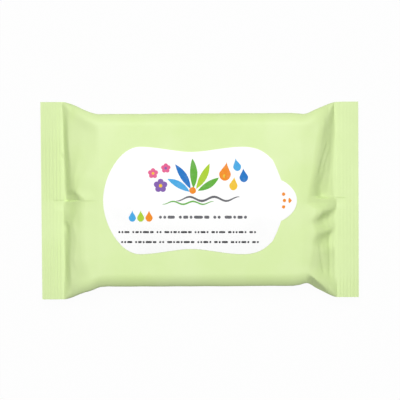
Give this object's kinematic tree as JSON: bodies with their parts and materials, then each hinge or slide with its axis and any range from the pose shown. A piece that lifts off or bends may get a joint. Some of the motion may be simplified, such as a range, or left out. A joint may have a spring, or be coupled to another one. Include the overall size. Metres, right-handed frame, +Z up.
{
  "type": "wet wipes pack",
  "caption": "Sealed pillow pack of wet wipes lying flat: film bag with a crimped fin at each end, and a peanut-shaped peel label with a round finger tab over the opening.",
  "frame": {"origin": "under the middle of the pack, on the surface that it lies on", "axes": "+X along the pack towards the label's finger tab, +Y across the pack, +Z up out of the labelled face"},
  "size_m": [0.16, 0.0992, 0.0183],
  "materials": {
    "film": "satin printed film, pale yellow-green",
    "label": null
  },
  "bodies": {
    "root": {"film_pack": "film", "peel_label": "label"}
  },
  "joints": []
}
